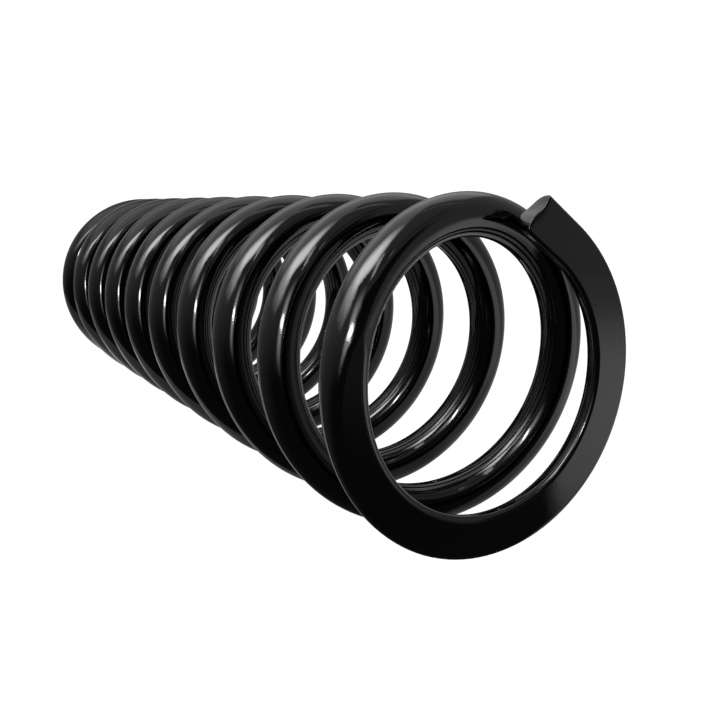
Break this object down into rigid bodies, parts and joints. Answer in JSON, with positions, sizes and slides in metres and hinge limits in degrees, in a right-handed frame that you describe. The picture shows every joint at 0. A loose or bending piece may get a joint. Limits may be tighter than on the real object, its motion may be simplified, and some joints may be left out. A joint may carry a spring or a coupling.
{
  "type": "helical compression spring",
  "caption": "Cylindrical helical compression spring of round wire, right-hand wound, gloss black, with closed ends ground flat to seat square on a spring perch.",
  "frame": {"origin": "centre of the coil on its lower ground end", "axes": "+Z along the coil's axis, from the lower ground end to the upper one; +X and +Y across it, with the lower tip's nominal start on +X"},
  "size_m": [0.0857, 0.0857, 0.281],
  "materials": {
    "black_paint": "gloss black powder coat over spring steel"
  },
  "bodies": {
    "root": {"coil_spring": "black_paint"}
  },
  "joints": []
}
